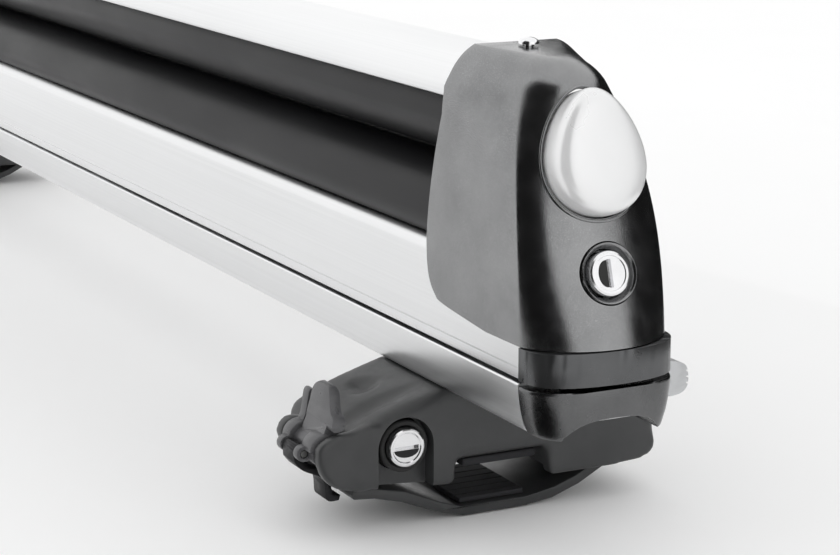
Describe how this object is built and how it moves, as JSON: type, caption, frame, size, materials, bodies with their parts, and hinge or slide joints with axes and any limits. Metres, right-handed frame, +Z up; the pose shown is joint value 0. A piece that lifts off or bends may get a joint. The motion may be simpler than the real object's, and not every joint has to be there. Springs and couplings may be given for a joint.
{
  "type": "roof ski rack",
  "caption": "Slide-out roof carrier that holds skis between two rubber-lined arms, with a latched and locked end and clamp feet for a crossbar.",
  "frame": {"origin": "under the front clamp foot (the one at the latch end), in the middle of the face where its saddle pad rests on the crossbar", "axes": "+Z up, +X along the arms towards the latch end, +Y across the crossbar to the side with the slide release tab"},
  "size_m": [0.8144, 0.1239, 0.1527],
  "materials": {
    "satin_aluminium": "satin, drawn along its length",
    "zinc_steel": "zinc plated",
    "black_steel": "black coated",
    "lock_chrome": "plated",
    "charcoal_plastic": "fine moulded texture",
    "grey_plastic": "smooth moulded",
    "light_grey_plastic": "glossy moulded",
    "black_rubber": "satin"
  },
  "bodies": {
    "base": {"base_rail": "satin_aluminium", "rail_front_cap": "charcoal_plastic", "rail_rear_cap": "charcoal_plastic", "release_spring": "zinc_steel", "foot_saddle_front": "charcoal_plastic", "saddle_pad_front": "black_rubber", "foot_bolt_front": "zinc_steel", "foot_nut_front": "zinc_steel", "jaw_pin_front": "zinc_steel", "lever_pin_front": "zinc_steel", "lock_sleeve_front": "charcoal_plastic", "foot_saddle_rear": "charcoal_plastic", "saddle_pad_rear": "black_rubber", "foot_bolt_rear": "zinc_steel", "foot_nut_rear": "zinc_steel", "jaw_pin_rear": "zinc_steel", "lever_pin_rear": "zinc_steel", "lock_sleeve_rear": "charcoal_plastic"},
    "release_button": {"slide_release_button": "light_grey_plastic"},
    "carriage": {"lower_arm": "satin_aluminium", "lower_roll": "black_rubber", "lower_front_cap": "grey_plastic", "latch_striker": "zinc_steel", "glide_shoe_front": "charcoal_plastic", "glide_shoe_rear": "charcoal_plastic", "hinge_bracket": "charcoal_plastic"},
    "lift": {"lift_link": "zinc_steel", "hinge_pin": "zinc_steel"},
    "upper_jaw": {"upper_arm": "satin_aluminium", "upper_roll": "black_rubber", "hinge_cap": "charcoal_plastic", "latch_housing": "charcoal_plastic", "housing_screw": "lock_chrome", "latch_frame": "zinc_steel", "latch_pin": "zinc_steel", "latch_spring": "zinc_steel", "lock_collar": "charcoal_plastic"},
    "button": {"push_button": "light_grey_plastic"},
    "hook": {"latch_hook": "zinc_steel"},
    "face_lock": {"lock_cylinder": "lock_chrome", "lock_cam": "zinc_steel"},
    "lever_front": {"cam_lever_front": "grey_plastic", "link_pin_front": "zinc_steel"},
    "link_front": {"draw_link_front": "black_steel"},
    "jaw_front": {"foot_jaw_front": "charcoal_plastic", "jaw_pad_front": "black_rubber"},
    "lock_front": {"foot_lock_front": "lock_chrome"},
    "lever_rear": {"cam_lever_rear": "grey_plastic", "link_pin_rear": "zinc_steel"},
    "link_rear": {"draw_link_rear": "black_steel"},
    "jaw_rear": {"foot_jaw_rear": "charcoal_plastic", "jaw_pad_rear": "black_rubber"},
    "lock_rear": {"foot_lock_rear": "lock_chrome"}
  },
  "joints": [
    {"name": "carriage_slide", "type": "slide", "parent": "base", "child": "carriage", "axis": [1, 0, 0], "range_m": [0, 0.3]},
    {"name": "slide_release", "type": "slide", "parent": "base", "child": "release_button", "axis": [0, -1, 0], "range_m": [0, 0.005], "deforming": ["release_spring"]},
    {"name": "hinge_lift", "type": "slide", "parent": "carriage", "child": "lift", "axis": [0, 0, 1], "range_m": [0, 0.02]},
    {"name": "arm_hinge", "type": "hinge", "parent": "lift", "child": "upper_jaw", "pos_m": [-0.7135, 0, 0.112], "axis": [0, -1, 0], "range_deg": [0, 70]},
    {"name": "button_press", "type": "slide", "parent": "upper_jaw", "child": "button", "axis": [-0.9578, 0, -0.2873], "range_m": [0, 0.005]},
    {"name": "latch_turn", "type": "hinge", "parent": "upper_jaw", "child": "hook", "pos_m": [0.054, 0, 0.092], "axis": [0, -1, 0], "range_deg": [0, 29], "deforming": ["latch_spring"]},
    {"name": "face_lock_turn", "type": "hinge", "parent": "upper_jaw", "child": "face_lock", "pos_m": [0.0848, 0, 0.0736], "axis": [0.9578, 0, 0.2873], "range_deg": [0, 90]},
    {"name": "cam_lever_front_turn", "type": "hinge", "parent": "base", "child": "lever_front", "pos_m": [0, -0.059, 0.011], "axis": [1, 0, 0], "range_deg": [0, 110]},
    {"name": "draw_link_front_turn", "type": "hinge", "parent": "lever_front", "child": "link_front", "pos_m": [0, -0.0644, 0.0096], "axis": [1, 0, 0], "range_deg": [-145, 0]},
    {"name": "foot_jaw_front_turn", "type": "hinge", "parent": "base", "child": "jaw_front", "pos_m": [0, 0.046, -0.0005], "axis": [1, 0, 0], "range_deg": [0, 60]},
    {"name": "foot_lock_front_turn", "type": "hinge", "parent": "base", "child": "lock_front", "pos_m": [0, -0.0342, 0.01], "axis": [1, 0, 0], "range_deg": [0, 90]},
    {"name": "cam_lever_rear_turn", "type": "hinge", "parent": "base", "child": "lever_rear", "pos_m": [-0.63, -0.059, 0.011], "axis": [1, 0, 0], "range_deg": [0, 110]},
    {"name": "draw_link_rear_turn", "type": "hinge", "parent": "lever_rear", "child": "link_rear", "pos_m": [-0.63, -0.0644, 0.0096], "axis": [1, 0, 0], "range_deg": [-145, 0]},
    {"name": "foot_jaw_rear_turn", "type": "hinge", "parent": "base", "child": "jaw_rear", "pos_m": [-0.63, 0.046, -0.0005], "axis": [1, 0, 0], "range_deg": [0, 60]},
    {"name": "foot_lock_rear_turn", "type": "hinge", "parent": "base", "child": "lock_rear", "pos_m": [-0.63, -0.0342, 0.01], "axis": [1, 0, 0], "range_deg": [0, 90]}
  ],
  "couplings": [
    {"joint": "latch_turn", "follows": "button_press", "rad_per_m": 98},
    {"joint": "draw_link_front_turn", "follows": "cam_lever_front_turn", "ratio": -1.3},
    {"joint": "draw_link_rear_turn", "follows": "cam_lever_rear_turn", "ratio": -1.3}
  ]
}
